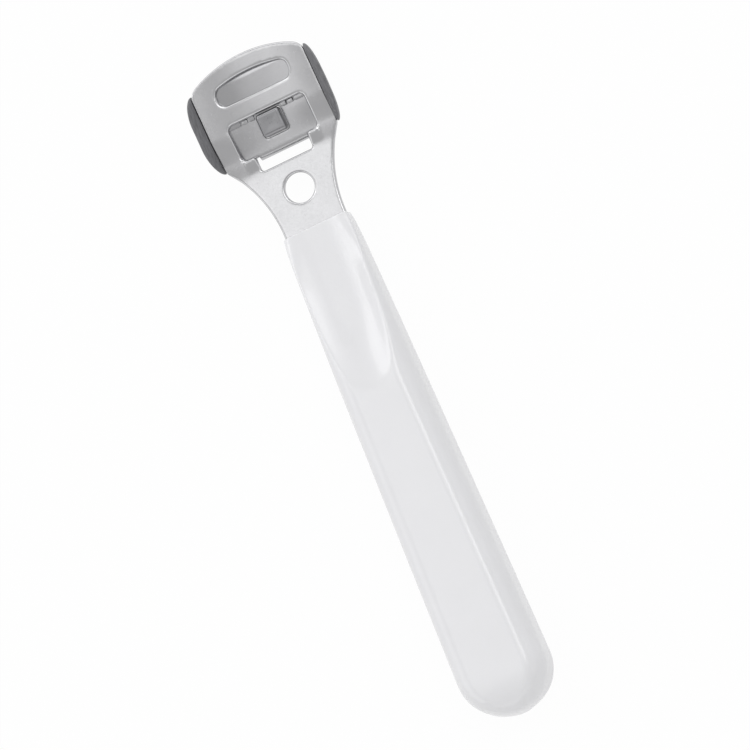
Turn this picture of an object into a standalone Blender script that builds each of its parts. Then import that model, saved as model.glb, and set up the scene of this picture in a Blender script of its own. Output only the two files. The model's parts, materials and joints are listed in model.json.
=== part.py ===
# Corn cutter: a callus plane with a stamped steel head, a swing-down blade
# holder and a moulded handle.  Metres, +Z up, the thumb side on top, the tip
# of the head towards +Y, lying on the underside of its handle.
import math

import bmesh
import bpy
from mathutils import Matrix, Vector

# Fits
clearance = 0.0003          # gap between pieces that touch
overrun = 0.0030            # how far a cutter runs past what it cuts
arc_step = math.radians(15)  # turn of one facet on small arcs
slice_width = 0.0020        # width of the strips that follow a curved sheet

# Head frame: one stamped sheet with head, neck and tang
frame_sheet = 0.0012
head_width = 0.0276
head_curve_radius = 0.0670  # hollow of the head across its width
head_front_rise = 0.0036    # bow of the front edge, in the sheet
head_corner_radius = 0.0032
head_crank = math.radians(8)
bend_length = 0.0024
flare_radius = 0.0300       # hollow curve from the head into the neck
flare_corner_radius = 0.0030
neck_width = 0.0150
neck_straight = 0.0008      # even stretch of neck before the handle
neck_reach = 0.0161         # bend line to the handle's front
hanging_hole = 0.0067
hanging_hole_station = 0.0068   # behind the bend line
curve_fade_shares = (0.58, 0.84, 1.18)  # of the bend's station: full, hinge, none
hinge_curve_share = 0.3     # what is left of the hollow at the hinge

# Openings in the head, named from the tip backwards
oblong_start = 0.0040
oblong_width = 0.0053
oblong_length = 0.0174
oblong_bow_radius = 0.0300
oblong_end_radius = 0.0018
crossbar = 0.0042
window_length = 0.0084
window_width = 0.0186
window_corner_radius = 0.0013
slot_width = 0.0125
slot_corner_radius = 0.0006
see_through = 0.0025        # open part of the slot behind the hinge roll

# Hinge between head frame and blade holder
pin_radius = 0.00035
holder_sheet = 0.0006
frame_knuckle_width = 0.0020
pin_end_play = 0.0003

# Blade
blade_thickness = 0.0003
blade_length = 0.0216
blade_cover = 0.0006        # blade ahead of the oblong's front edge
blade_show = 0.0009         # blade behind the crossbar
blade_bevel = 0.0012
blade_edge_share = 0.2      # thickness left at the cutting edge
notch_depth = 0.0012
centre_notch_width = 0.0066

# Blade holder
holder_setback = 0.0004     # holder behind the frame's front edge
mouth_lead = 0.0010         # mouth ahead of the cutting edge
mouth_gap = 0.0055
mouth_length = 0.0174
mouth_corner_radius = 0.0012
lug_width = 0.0014
lug_offset = 0.0056         # from the middle to each lug
roll_turn = math.radians(285)
flange_length = 0.0080
flange_start = 0.0095       # behind the tip
flange_height = 0.0020
flange_sheet = 0.0004

# Latch tongue in the window
latch_gap = 0.00045
tongue_length = 0.0053
tongue_width = 0.0057
tongue_sheet = 0.0006
tongue_edge_radius = 0.0009
tongue_proud = 0.00005      # tongue above the top of the frame

# Side grips
grip_start = 0.0041
grip_length = 0.0186
grip_height = 0.0066
grip_above_edge = 0.0036    # reach of the grip above the middle of the frame's edge
grip_thickness = 0.0022
grip_foot_share = 0.5       # thickness left at the foot, so the outer face leans
grip_corner_radius = 0.0022
grip_end_taper = 0.0060     # outer face draws in by this much at each end,
grip_top_round = 0.0018     # at its top
grip_foot_round = 0.0012    # and at its foot
grip_inner_fall = 0.0027    # inner face is lower than the grip's reach

# Tang inside the handle
tang_width = 0.0090
tang_length = 0.0620
tang_end_radius = 0.0040
tang_hole = 0.0032
tang_hole_shares = (0.3, 0.72)  # of the tang's length

# Handle
handle_length = 0.1167
handle_front_width = 0.0158
handle_tail_width = 0.0206
handle_height = 0.0146
handle_front_height = 0.0136
handle_corner_radius = 0.0042
handle_width_power = 0.8
handle_shoulder_length = 0.0036  # round corners of the front, seen from above
handle_shoulder_inset = 0.0012
handle_end_length = 0.0104
handle_end_power = 2.4      # roundness of the tail, seen from the side
handle_end_limit_share = 0.998  # the tail's round end is cut flat here
corner_limit_share = 0.9    # corner radius against half of the section
handle_chin = 0.0012        # rise of the underside at the front
handle_chin_length = 0.0080
handle_nose_round = 0.0004
tang_level = 0.0068         # middle of the sheet above the rest plane
dish_front_cover = 0.0010   # handle above the neck's top face
dish_length = 0.0390
dish_width = 0.0158
dish_round_length = 0.0200  # length of the dish's round end
dish_wall = 0.0013          # depth of the dish at its round end
dish_floor_share = 0.4      # flat part of the dish across its width

# Worked out from the sizes above
half_sheet = frame_sheet / 2
half_head = head_width / 2
half_neck = neck_width / 2
oblong_end = oblong_start + oblong_width
window_start = oblong_end + crossbar
window_end = window_start + window_length
bore_radius = pin_radius + clearance
knuckle_radius = bore_radius + holder_sheet
hinge_station = window_end
slot_end = hinge_station + knuckle_radius + see_through
head_reach = slot_end       # the head bends at the slot's rear edge
handle_front = -neck_reach

blade_top = -half_sheet - clearance
blade_bottom = blade_top - blade_thickness
holder_top = blade_bottom - clearance
holder_bottom = holder_top - holder_sheet
holder_middle = (holder_top + holder_bottom) / 2
hinge_level = holder_bottom - bore_radius   # the strap runs flat over the pin
blade_start = oblong_start - blade_cover
blade_end = window_start + blade_show
mouth_start = blade_start - mouth_lead
mouth_end = mouth_start + mouth_gap
tongue_start = window_start + latch_gap
tongue_end = tongue_start + tongue_length
flexure_station = tongue_end + clearance / 2
holder_tail = hinge_station - knuckle_radius - clearance
roll_half = slot_width / 2 - clearance
shoulder_half = window_width / 2 + clearance    # holder beside the hinge
knuckle_inner = shoulder_half + clearance
knuckle_outer = knuckle_inner + frame_knuckle_width
pin_half = knuckle_outer - pin_end_play
grip_inner = half_head + clearance


def from_tip(station):
    """Y of a place that lies this far behind the tip of the head."""
    return head_reach - station


def smooth(share):
    """Eased step from 0 to 1, held at both ends."""
    share = min(1, max(0, share))
    return share * share * (3 - 2 * share)


# The head sheet: hollow across its width, then bent at the neck
def hollow(x, y):
    """Height of the hollow sheet over a flat one."""
    full, hinge, none = (share * head_reach for share in curve_fade_shares)
    station = head_reach - y
    if station < hinge:
        left = 1 - (1 - hinge_curve_share) * smooth((station - full) / (hinge - full))
    else:
        left = hinge_curve_share * (1 - smooth((station - hinge) / (none - hinge)))
    return left * x * x / (2 * head_curve_radius)


def head_matrix():
    """Place of the flat head's own frame after the bend at the neck."""
    half = bend_length / 2
    radius = bend_length / head_crank
    end = Vector((0, radius * math.sin(head_crank) - half,
                  radius * (1 - math.cos(head_crank))))
    turn = Matrix.Rotation(head_crank, 4, "X")
    return Matrix.Translation(end) @ turn @ Matrix.Translation((0, -half, 0))


def bend_point(point):
    """Moves a point of the flat sheet onto the hollow, bent sheet."""
    half = bend_length / 2
    radius = bend_length / head_crank
    lifted = Vector((point.x, point.y, point.z + hollow(point.x, point.y)))
    if lifted.y <= -half:
        return lifted
    if lifted.y >= half:
        return head_matrix() @ lifted
    angle = (lifted.y + half) / radius
    reach = radius - lifted.z
    return Vector((lifted.x, reach * math.sin(angle) - half,
                   radius - reach * math.cos(angle)))


# Outlines
def arc(centre, radius, start, end, count):
    """Points along an arc, both ends included."""
    points = []
    for i in range(count + 1):
        angle = start + (end - start) * i / count
        points.append((centre[0] + radius * math.cos(angle),
                       centre[1] + radius * math.sin(angle)))
    return points


def rounded(corners):
    """Outline through (x, y, radius) corners, each rounded by an arc."""
    points = []
    for i, (x, y, radius) in enumerate(corners):
        here = Vector((x, y))
        if radius == 0:
            points.append((x, y))
            continue
        before = (Vector(corners[i - 1][:2]) - here).normalized()
        after = (Vector(corners[(i + 1) % len(corners)][:2]) - here).normalized()
        opening = before.angle(after)
        tangent = radius / math.tan(opening / 2)
        centre = here + (before + after).normalized() * radius / math.sin(opening / 2)
        first = here + before * tangent - centre
        turn = math.pi - opening
        if before.cross(after) > 0:
            turn = -turn
        steps = max(2, round(abs(turn) / arc_step))
        for k in range(steps + 1):
            spoke = first.copy()
            spoke.rotate(Matrix.Rotation(turn * k / steps, 2))
            points.append(tuple(centre + spoke))
    return points


def rounded_box(x_low, x_high, y_low, y_high, radius):
    """Rectangle with equal round corners."""
    return rounded([(x_low, y_low, radius), (x_high, y_low, radius),
                    (x_high, y_high, radius), (x_low, y_high, radius)])


def mirrored(right_side):
    """Closed outline from its right side, listed from front to back."""
    left = [(-x, *rest) for x, *rest in reversed(right_side) if x > 0]
    return right_side + left


def up_to_corner(points, radius):
    """Arc's points from the middle outwards, its last one a round corner."""
    corner = points[-1]
    free = [(x, y, 0) for x, y in points[:-1] if x < corner[0] - radius]
    return free + [(*corner, radius)]


def front_edge(setback):
    """Right half of the bowed front edge, from the middle to the side."""
    bow = (half_head ** 2 + head_front_rise ** 2) / (2 * head_front_rise)
    sweep = math.asin(half_head / bow)
    centre = (0, head_reach - setback - bow)
    count = 8
    points = arc(centre, bow, math.pi / 2, math.pi / 2 - sweep, count)
    return up_to_corner(points, head_corner_radius)


def bowed_slot(start, end, length, bow, corner):
    """Slot across the head: straight behind, bowed in front."""
    half = length / 2
    sweep = math.asin(half / bow)
    count = 6
    front = arc((0, from_tip(start) - bow), bow, math.pi / 2, math.pi / 2 - sweep, count)
    side = up_to_corner(front, corner)
    side.append((half, from_tip(end), corner))
    return rounded(mirrored(side))


def frame_outline():
    """Outline of the flat frame blank."""
    flare_top = handle_front + neck_straight
    centre = (half_neck + flare_radius, flare_top)
    sweep = math.acos((centre[0] - half_head) / flare_radius)
    count = 8
    flare = arc(centre, flare_radius, math.pi - sweep, math.pi, count)
    tang_end = handle_front - tang_length
    side = front_edge(0)
    side.append((*flare[0], flare_corner_radius))
    side += [(x, y, 0) for x, y in flare[1:]]
    side.append((half_neck, handle_front + clearance, 0))
    side.append((tang_width / 2, handle_front + clearance, 0))
    side.append((tang_width / 2, tang_end, tang_end_radius))
    return rounded(mirrored(side))


def window_outline():
    """Window for the latch with the narrower hinge slot behind it."""
    return rounded(mirrored([
        (window_width / 2, from_tip(window_start), window_corner_radius),
        (window_width / 2, from_tip(window_end), window_corner_radius),
        (slot_width / 2, from_tip(window_end), 0),
        (slot_width / 2, from_tip(slot_end), slot_corner_radius)]))


# Meshes
def loft(rings):
    """Closed solid through rings of equally many points."""
    bm = bmesh.new()
    rows = [[bm.verts.new(point) for point in ring] for ring in rings]
    for low, high in zip(rows, rows[1:]):
        for i in range(len(low)):
            j = (i + 1) % len(low)
            bm.faces.new((low[i], low[j], high[j], high[i]))
    bm.faces.new(reversed(rows[0]))
    bm.faces.new(rows[-1])
    bmesh.ops.recalc_face_normals(bm, faces=bm.faces)
    return bm


def prism(outline, low, high):
    """Upright solid over an outline in X and Y."""
    return loft([[(x, y, z) for x, y in outline] for z in (low, high)])


def side_prism(outline, low, high):
    """Solid along X over an outline in Y and Z."""
    return loft([[(x, y, z) for y, z in outline] for x in (low, high)])


def box(low, high):
    """Block between two corners."""
    outline = [(low[0], low[1]), (high[0], low[1]), (high[0], high[1]), (low[0], high[1])]
    return prism(outline, low[2], high[2])


def rod(y, z, radius, x_low, x_high, count=16):
    """Round bar along X."""
    ring = arc((y, z), radius, 0, math.tau * (count - 1) / count, count - 1)
    return side_prism(ring, x_low, x_high)


def slice_at(bm, point, normal, y_low):
    """Cuts the faces ahead of a line across the sheet along one plane."""
    faces = [face for face in bm.faces if max(vert.co.y for vert in face.verts) > y_low]
    edges = {edge for face in faces for edge in face.edges}
    verts = {vert for face in faces for vert in face.verts}
    bmesh.ops.bisect_plane(bm, geom=[*faces, *edges, *verts], dist=clearance / 100,
                           plane_co=point, plane_no=normal)


def slice_sheet(bm, x_half, y_low, rows):
    """Cuts a sheet into rows, and its hollow part into strips along the head."""
    bmesh.ops.triangulate(bm, faces=bm.faces)
    for y in rows:
        slice_at(bm, (0, y, 0), (0, 1, 0), min(rows))
    strips = math.ceil(x_half / slice_width)
    for i in range(1 - strips, strips):
        slice_at(bm, (x_half * i / strips, 0, 0), (1, 0, 0), y_low + clearance)
    bmesh.ops.triangulate(bm, faces=bm.faces)


def fade_rows(y_low):
    """Rows where the hollow fades, from its full depth back to y_low."""
    y_high = head_reach * (1 - curve_fade_shares[0])
    count = math.ceil((y_high - y_low) / slice_width)
    return [y_high + (y_low - y_high) * i / count for i in range(count + 1)]


# Objects
def material_for(name, colour, metallic, roughness):
    """Plain finish of one piece."""
    material = bpy.data.materials.new(name)
    material.use_nodes = True
    shader = material.node_tree.nodes["Principled BSDF"]
    shader.inputs["Base Color"].default_value = (*colour, 1)
    shader.inputs["Metallic"].default_value = metallic
    shader.inputs["Roughness"].default_value = roughness
    return material


def add_object(name, bm, finish=None, parent=None):
    """Puts a mesh into the scene, under a parent whose frame it is built in."""
    mesh = bpy.data.meshes.new(name)
    bm.to_mesh(mesh)
    bm.free()
    piece = bpy.data.objects.new(name, mesh)
    bpy.context.collection.objects.link(piece)
    if finish:
        mesh.materials.append(material_for(name + "_finish", *finish))
    if parent:
        piece.parent = parent
    return piece


def combine(piece, bm, operation):
    """Joins or cuts a piece with one more mesh, by an exact boolean."""
    tool = add_object("tool", bm, parent=piece.parent)
    modifier = piece.modifiers.new("combine", "BOOLEAN")
    modifier.operation = operation
    modifier.solver = "EXACT"
    modifier.object = tool
    bpy.context.view_layer.update()
    evaluated = piece.evaluated_get(bpy.context.evaluated_depsgraph_get())
    mesh = bpy.data.meshes.new_from_object(evaluated)
    piece.modifiers.remove(modifier)
    piece.data = mesh
    bpy.data.objects.remove(tool)


def reshape(piece, change):
    """Lets a function work on the mesh of a piece."""
    bm = bmesh.new()
    bm.from_mesh(piece.data)
    change(bm)
    bm.to_mesh(piece.data)
    bm.free()


def soften(piece, angle=math.radians(30)):
    """Shades the round faces of a piece smooth."""
    piece.data.shade_smooth()
    piece.data.set_sharp_from_angle(angle=angle)


def add_empty(name, location, parent=None):
    """Frame that pieces are built in or turn about."""
    empty = bpy.data.objects.new(name, None)
    bpy.context.collection.objects.link(empty)
    empty.location = location
    empty.parent = parent
    return empty


# Pieces
steel = ((0.62, 0.62, 0.63), 1.0, 0.25)
bright_steel = ((0.72, 0.72, 0.74), 1.0, 0.15)
dark_plastic = ((0.10, 0.10, 0.11), 0.0, 0.45)
white_plastic = ((0.86, 0.86, 0.88), 0.0, 0.30)


def make_head_frame(root, head):
    """Stamped head, neck and tang with the two hinge knuckles."""
    frame = add_object("head_frame", prism(frame_outline(), -half_sheet, half_sheet),
                       steel, root)
    low, high = -half_sheet - overrun, half_sheet + overrun
    oblong = bowed_slot(oblong_start, oblong_end, oblong_length, oblong_bow_radius,
                        oblong_end_radius)
    combine(frame, prism(oblong, low, high), "DIFFERENCE")
    combine(frame, prism(window_outline(), low, high), "DIFFERENCE")
    full_turn = math.tau * 23 / 24
    hole = arc((0, -hanging_hole_station), hanging_hole / 2, 0, full_turn, 23)
    combine(frame, prism(hole, low, high), "DIFFERENCE")
    for share in tang_hole_shares:
        hole = arc((0, handle_front - tang_length * share), tang_hole / 2, 0, full_turn, 23)
        combine(frame, prism(hole, low, high), "DIFFERENCE")

    def bend(bm):
        flat_start = head_reach * (1 - curve_fade_shares[2])
        slice_sheet(bm, half_head, flat_start, fade_rows(flat_start))
        for vert in bm.verts:
            vert.co = bend_point(vert.co)

    reshape(frame, bend)
    y = from_tip(hinge_station)
    root_level = hollow((knuckle_inner + knuckle_outer) / 2, y)
    side_view = arc((y, hinge_level), knuckle_radius, -math.pi, 0, 12)
    side_view += [(y + knuckle_radius, root_level), (y - knuckle_radius, root_level)]
    for side in (-1, 1):
        knuckle = side_prism(side_view, *sorted((side * knuckle_inner, side * knuckle_outer)))
        knuckle.transform(head.matrix_local)
        combine(frame, knuckle, "UNION")
    bore_half = knuckle_outer + overrun
    bore = rod(y, hinge_level, bore_radius, -bore_half, bore_half)
    bore.transform(head.matrix_local)
    combine(frame, bore, "DIFFERENCE")
    soften(frame)
    return frame


def make_hinge_pin(head):
    """Pin through the frame's knuckles and the holder's roll."""
    pin = rod(from_tip(hinge_station), hinge_level, pin_radius, -pin_half, pin_half)
    soften(add_object("hinge_pin", pin, bright_steel, head))


def make_blade_holder(parent):
    """Swing-down plate: mouth, blade lugs, flanges and hinge roll."""
    path = roll_path()
    lengths = lengths_along(path)
    root = from_tip(hinge_station)
    side = front_edge(holder_setback)
    side.append((half_head, from_tip(holder_tail), head_corner_radius))
    side.append((shoulder_half, from_tip(holder_tail), 0))
    side.append((shoulder_half, root, 0))
    side.append((roll_half, root, 0))
    side.append((roll_half, root - lengths[-1], 0))
    holder = add_object("blade_holder", prism(rounded(mirrored(side)), holder_bottom, holder_top),
                        steel, parent)
    low, high = holder_bottom - overrun, holder_top + overrun
    mouth = bowed_slot(mouth_start, mouth_end, mouth_length, oblong_bow_radius,
                       mouth_corner_radius)
    combine(holder, prism(mouth, low, high), "DIFFERENCE")
    half_hole = tongue_width / 2 + clearance
    latch_hole = box((-half_hole, from_tip(tongue_end + clearance), low),
                     (half_hole, from_tip(tongue_start - clearance), high))
    combine(holder, latch_hole, "DIFFERENCE")
    for sign in (-1, 1):
        middle = sign * lug_offset
        lug = box((middle - lug_width / 2, from_tip(blade_end), holder_middle),
                  (middle + lug_width / 2, from_tip(blade_end - notch_depth + clearance), blade_top))
        combine(holder, lug, "UNION")

    def form(bm):
        slice_sheet(bm, half_head, root, fade_rows(root) + [root - run for run in lengths[1:-1]])
        for vert in bm.verts:
            if vert.co.y > root - clearance / 2:
                vert.co.z += hollow(vert.co.x, vert.co.y)
            else:
                roll_up(vert, path, lengths)

    reshape(holder, form)
    for sign in (-1, 1):
        combine(holder, flange(sign), "UNION")
    soften(holder)


def flange_places():
    """X and Z marks of the flange on the holder's right edge."""
    foot = holder_middle + hollow(half_head - flange_sheet / 2, head_reach)
    return grip_inner, grip_inner + flange_sheet, foot


def flange(sign):
    """Edge of the holder that turns up inside a grip."""
    inner, outer, foot = flange_places()
    root = half_head - flange_sheet
    sheet = holder_sheet / 2
    path = [(root, foot - sheet), (outer, foot - sheet), (outer, foot + flange_height),
            (inner, foot + flange_height), (inner, foot + sheet), (root, foot + sheet)]
    front = from_tip(flange_start)
    back = front - flange_length
    return loft([[(sign * x, y, z) for x, z in path] for y in (back, front)])


def roll_path():
    """Middle line of the roll that goes over the pin and round it, in Y and Z."""
    middle = bore_radius + holder_sheet / 2
    centre = (from_tip(hinge_station), hinge_level)
    return arc(centre, middle, math.pi / 2, math.pi / 2 + roll_turn, 18)


def lengths_along(path):
    """Length of a path up to each of its points."""
    lengths = [0]
    for before, after in zip(path, path[1:]):
        lengths.append(lengths[-1] + math.dist(before, after))
    return lengths


def roll_up(vert, path, lengths):
    """Lays a point of the flat strap onto the roll."""
    root = from_tip(hinge_station)
    run = root - vert.co.y
    i = min(range(len(lengths)), key=lambda k: abs(lengths[k] - run))
    before = Vector(path[max(i - 1, 0)])
    after = Vector(path[min(i + 1, len(path) - 1)])
    along = (after - before).normalized()
    across = Vector((along.y, -along.x)) * (vert.co.z - holder_middle)
    here = Vector(path[i]) + across
    vert.co.y = here.x
    vert.co.z = here.y + hollow(vert.co.x, root) * smooth(1 - run / knuckle_radius)


def make_blade(parent):
    """Thin blade: bevelled in front, notched behind for latch and lugs."""
    half = blade_length / 2
    outline = [(half, from_tip(blade_start)), (half, from_tip(blade_end))]
    notches = [(lug_offset + lug_width / 2 + clearance, lug_offset - lug_width / 2 - clearance),
               (centre_notch_width / 2, 0)]
    back = from_tip(blade_end)
    for outer, inner in notches:
        outline.append((outer, back))
        outline.append((outer, back + notch_depth))
        if inner > 0:
            outline.append((inner, back + notch_depth))
            outline.append((inner, back))
    blade = add_object("blade", prism(mirrored(outline), blade_bottom, blade_top),
                       bright_steel, parent)
    middle = (blade_bottom + blade_top) / 2
    bevel_end = from_tip(blade_start + blade_bevel)

    def shape(bm):
        slice_sheet(bm, half, back, [bevel_end])
        for vert in bm.verts:
            edge = max(0, (vert.co.y - bevel_end) / blade_bevel)
            share = 1 - (1 - blade_edge_share) * edge
            vert.co.z = middle + (vert.co.z - middle) * share + hollow(vert.co.x, vert.co.y)

    reshape(blade, shape)


def tongue_side(inset, foot):
    """Side view of the tongue's cap, drawn in by an inset, down to its foot."""
    front = from_tip(tongue_start) - inset
    back = from_tip(tongue_end) + inset
    top = half_sheet + tongue_proud - inset
    radius = tongue_edge_radius - inset
    quarter = math.pi / 2
    count = 5
    outline = arc((front - radius, top - radius), radius, 0, quarter, count)
    outline += arc((back + radius, top - radius), radius, quarter, 2 * quarter, count)
    return outline + [(back, foot), (front, foot)]


def make_latch_tongue(parent):
    """Pressed cap that stands up through the holder into the window."""
    half = tongue_width / 2
    outside = side_prism(tongue_side(0, holder_bottom), -half, half)
    tongue = add_object("latch_tongue", outside, bright_steel, parent)
    half -= tongue_sheet
    inside = side_prism(tongue_side(tongue_sheet, holder_bottom - overrun), -half, half)
    combine(tongue, inside, "DIFFERENCE")
    soften(tongue)


def make_side_grip(name, sign, parent):
    """Moulded grip over the flange at one side of the holder."""
    front = from_tip(grip_start)
    back = front - grip_length
    top = hollow(half_head, head_reach) + grip_above_edge
    bottom = top - grip_height
    rings = []
    count = 8
    for i in range(count + 1):
        angle = math.pi / 2 * i / count
        depth = math.sin(angle)
        drawn_in = 1 - math.cos(angle)
        end = grip_end_taper * drawn_in
        low = bottom + grip_foot_round * drawn_in
        high = top - grip_top_round * drawn_in - grip_inner_fall * (1 - depth)
        radius = min(grip_corner_radius, (high - low) / 2 * corner_limit_share)
        row = []
        for y, z in rounded_box(back + end, front - end, low, high, radius):
            lean = grip_foot_share + (1 - grip_foot_share) * (z - bottom) / grip_height
            row.append((sign * (grip_inner + grip_thickness * depth * lean), y, z))
        rings.append(row)
    grip = add_object(name, loft(rings), dark_plastic, parent)

    inner, outer, foot = flange_places()
    across = sorted((sign * (inner - overrun), sign * (outer + clearance)))
    low_y = from_tip(flange_start + flange_length) - clearance
    high_y = from_tip(flange_start) + clearance
    recess = box((across[0], low_y, foot - holder_sheet / 2 - clearance),
                 (across[1], high_y, foot + flange_height + clearance))
    combine(grip, recess, "DIFFERENCE")
    soften(grip)


def handle_half_width(back):
    """Half width of the handle this far behind its front."""
    widest = handle_length - handle_end_length
    share = min(1, back / widest) ** handle_width_power
    half = (handle_front_width + (handle_tail_width - handle_front_width) * share) / 2
    ahead = max(0, 1 - back / handle_shoulder_length)
    return half - handle_shoulder_inset * (1 - math.sqrt(1 - ahead ** 2))


def dish_height(x, back):
    """Height of the thumb dish over the rest plane."""
    share = back / dish_length
    low = tang_level + half_sheet + dish_front_cover
    floor = low + (handle_height - dish_wall - low) * share
    round_start = dish_length - dish_round_length
    along = max(0, back - round_start) / dish_round_length
    across = abs(x) / (dish_width / 2)
    spread = math.hypot(along, across)
    wall = max(0, (spread - dish_floor_share) / (1 - dish_floor_share))
    side_wall = smooth(back / dish_round_length)
    return floor + dish_wall * wall ** 2 * side_wall


def handle_ring(back):
    """One cross-section of the handle, as points round it."""
    end = max(0, back - (handle_length - handle_end_length)) / handle_end_length
    end = min(end, handle_end_limit_share)
    half = handle_half_width(back) * math.sqrt(1 - end ** 2)
    top = handle_front_height + (handle_height - handle_front_height) * smooth(back / dish_length)
    bottom = handle_chin * (1 - smooth(back / handle_chin_length))
    middle = (top + bottom) / 2
    tall = (top - bottom) / 2 * (1 - end ** handle_end_power) ** (1 / handle_end_power)
    nose = handle_nose_round * max(0, 1 - back / handle_nose_round)
    half -= nose
    tall -= nose
    radius = min(handle_corner_radius, half * corner_limit_share, tall * corner_limit_share)
    upper = []
    lower = []
    count = 16
    for i in range(count + 1):
        x = half * math.sin(math.pi * (i / count - 1 / 2))
        beyond = max(0, abs(x) - (half - radius))
        fall = radius - math.sqrt(max(0, radius ** 2 - beyond ** 2))
        high = min(middle + tall - fall, dish_height(x, back) - nose)
        upper.append((x, handle_front - back, high))
        lower.append((x, handle_front - back, middle - tall + fall))
    return upper + lower[::-1]


def handle_stations():
    """Distances behind the front at which the handle's sections lie."""
    stations = [0, handle_nose_round]
    count = 4
    step = (handle_shoulder_length - handle_nose_round) / count
    stations += [handle_nose_round + step * i for i in range(1, count + 1)]
    count = 18
    step = (dish_length - handle_shoulder_length) / count
    stations += [handle_shoulder_length + step * i for i in range(1, count + 1)]
    body_end = handle_length - handle_end_length
    count = 8
    stations += [dish_length + (body_end - dish_length) * i / count for i in range(1, count + 1)]
    count = 9
    for i in range(1, count + 1):
        stations.append(body_end + handle_end_length * math.sin(math.pi / 2 * i / count))
    return stations


def make_handle(base):
    """Moulded handle with its thumb dish and the pocket for the tang."""
    handle = add_object("handle", loft([handle_ring(back) for back in handle_stations()]),
                        white_plastic, base)
    gap = half_sheet + clearance
    half = tang_width / 2 + clearance
    pocket = box((-half, handle_front - tang_length - clearance, tang_level - gap),
                 (half, handle_front + overrun, tang_level + gap))
    combine(handle, pocket, "DIFFERENCE")
    for share in tang_hole_shares:
        centre = (0, handle_front - tang_length * share)
        count = 16
        ring = arc(centre, tang_hole / 2 - clearance, 0, math.tau * (count - 1) / count, count - 1)
        peg = prism(ring, tang_level - 2 * gap, tang_level + 2 * gap)
        combine(handle, peg, "UNION")
    soften(handle)


def centre_on_box(base):
    """Moves the part so that its box stands on the origin."""
    bpy.context.view_layer.update()
    corners = [piece.matrix_world @ vert.co for piece in bpy.data.objects
               if piece.type == "MESH" for vert in piece.data.vertices]
    low = [min(corner[i] for corner in corners) for i in range(3)]
    high = [max(corner[i] for corner in corners) for i in range(3)]
    base.location = (-(low[0] + high[0]) / 2, -(low[1] + high[1]) / 2, -low[2])


def build():
    """Makes every piece and hangs it on its frame."""
    for old in list(bpy.data.objects):
        bpy.data.objects.remove(old)
    base = add_empty("rest_plane", (0, 0, 0))
    root = add_empty("sheet_level", (0, 0, tang_level), base)
    head = add_empty("head_level", (0, 0, 0), root)
    head.matrix_local = head_matrix()
    hinge = Vector((0, from_tip(hinge_station), hinge_level))
    holder_axis = add_empty("holder_axis", hinge, head)
    holder_home = add_empty("holder_home", -hinge, holder_axis)
    flexure = Vector((0, from_tip(flexure_station), holder_middle))
    latch_axis = add_empty("latch_axis", flexure, holder_home)
    latch_home = add_empty("latch_home", -flexure, latch_axis)
    bpy.context.view_layer.update()

    make_head_frame(root, head)
    make_hinge_pin(head)
    make_blade_holder(holder_home)
    make_blade(holder_home)
    make_latch_tongue(latch_home)
    make_side_grip("left_side_grip", -1, holder_home)
    make_side_grip("right_side_grip", 1, holder_home)
    make_handle(base)
    centre_on_box(base)


build()
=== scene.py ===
# Corn cutter: the finished surfaces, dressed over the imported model
# Metres, +Y to the tip of the head, +Z up out of the thumb side
import json
import math

import bpy
import numpy as np
from mathutils import Matrix, Vector
from mathutils.geometry import delaunay_2d_cdt


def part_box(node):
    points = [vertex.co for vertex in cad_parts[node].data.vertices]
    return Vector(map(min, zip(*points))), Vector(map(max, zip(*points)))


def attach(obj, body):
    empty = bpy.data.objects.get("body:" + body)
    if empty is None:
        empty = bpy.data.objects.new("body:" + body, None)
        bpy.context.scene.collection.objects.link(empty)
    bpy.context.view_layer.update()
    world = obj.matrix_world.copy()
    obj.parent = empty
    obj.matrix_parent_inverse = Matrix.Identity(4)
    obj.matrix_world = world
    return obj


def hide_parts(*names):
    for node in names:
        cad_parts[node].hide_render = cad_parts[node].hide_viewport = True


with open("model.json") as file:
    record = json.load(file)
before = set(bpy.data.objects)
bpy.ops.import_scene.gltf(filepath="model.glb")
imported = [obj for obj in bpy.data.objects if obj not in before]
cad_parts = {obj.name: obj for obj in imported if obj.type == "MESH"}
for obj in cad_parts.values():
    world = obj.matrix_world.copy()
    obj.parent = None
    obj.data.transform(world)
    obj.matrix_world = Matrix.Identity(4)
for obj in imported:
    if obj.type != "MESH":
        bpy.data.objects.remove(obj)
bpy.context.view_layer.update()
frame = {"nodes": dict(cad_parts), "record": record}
quarter = math.pi / 2
fit = 0.0003  # gap kept between pieces that touch
tiny = 1e-9  # keeps a divisor away from nothing


# The camera: a long lens above the thumb side, a little to its right and towards the tail
view = {
    "yaw": 12.3,  # degrees to the right of straight above
    "pitch": -11.3,  # degrees towards the tail
    "roll": 22.95,  # degrees that the handle leans in the picture
    "pixelsPerMetre": 4600,
    "originPixel": (390.7, 384.3),
    "picturePixels": 750,
    "level": 0.0075,  # height at which the scale holds
    "distance": 2.0,
    "sensor": 36,
}


def addObject(name, data):
    thing = bpy.data.objects.new(name, data)
    bpy.context.collection.objects.link(thing)
    return thing


def addCamera():
    # Rows of the turn are the picture's right, up and towards-the-viewer directions
    turn = (Matrix.Rotation(math.radians(view["roll"]), 3, "Z")
            @ Matrix.Rotation(math.radians(view["pitch"]), 3, "X")
            @ Matrix.Rotation(-math.radians(view["yaw"]), 3, "Y"))
    pixels, scale = view["picturePixels"], view["pixelsPerMetre"]
    originX, originY = view["originPixel"]
    across, upward = (pixels / 2 - originX) / scale, (originY - pixels / 2) / scale
    depth = (turn @ Vector((0, 0, view["level"]))).z + view["distance"]
    place = turn.transposed() @ Vector((across, upward, depth))
    data = bpy.data.cameras.new("viewpoint")
    data.sensor_width = view["sensor"]
    data.lens = view["sensor"] * scale * view["distance"] / pixels
    camera = addObject("viewpoint", data)
    camera.matrix_world = Matrix.Translation(place) @ turn.transposed().to_4x4()
    bpy.context.scene.camera = camera


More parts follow.
